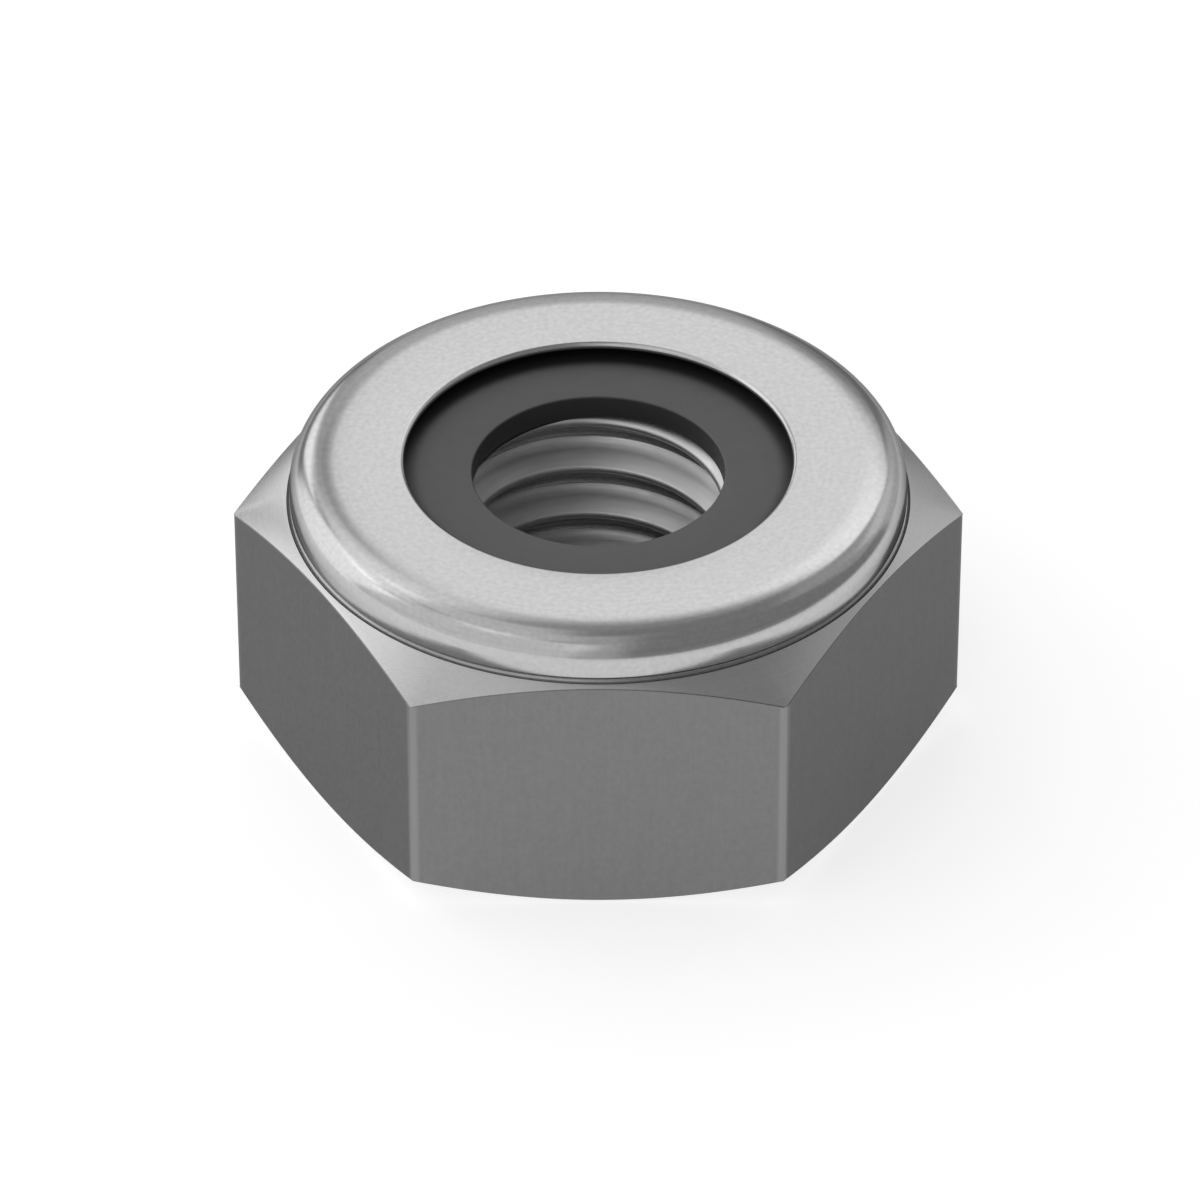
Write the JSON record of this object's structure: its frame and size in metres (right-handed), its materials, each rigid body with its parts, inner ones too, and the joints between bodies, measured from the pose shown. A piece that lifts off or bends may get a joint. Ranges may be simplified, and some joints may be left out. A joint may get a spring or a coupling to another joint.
{
  "type": "lock nut",
  "caption": "Low-profile hexagon lock nut with a round rolled collar that holds a dark plastic locking ring over a right-hand threaded hole.",
  "frame": {"origin": "centre of the bearing face, on the thread's axis", "axes": "+Z along the thread's axis, from the bearing face towards the collar; a flat of the hexagon faces -Y and two corners lie on X"},
  "size_m": [0.01, 0.0088, 0.0043],
  "materials": {
    "plain_steel": "fine satin with softly rounded edges",
    "dark_nylon": "smooth moulded"
  },
  "bodies": {
    "root": {"nut_body": "plain_steel", "locking_insert": "dark_nylon"}
  },
  "joints": []
}
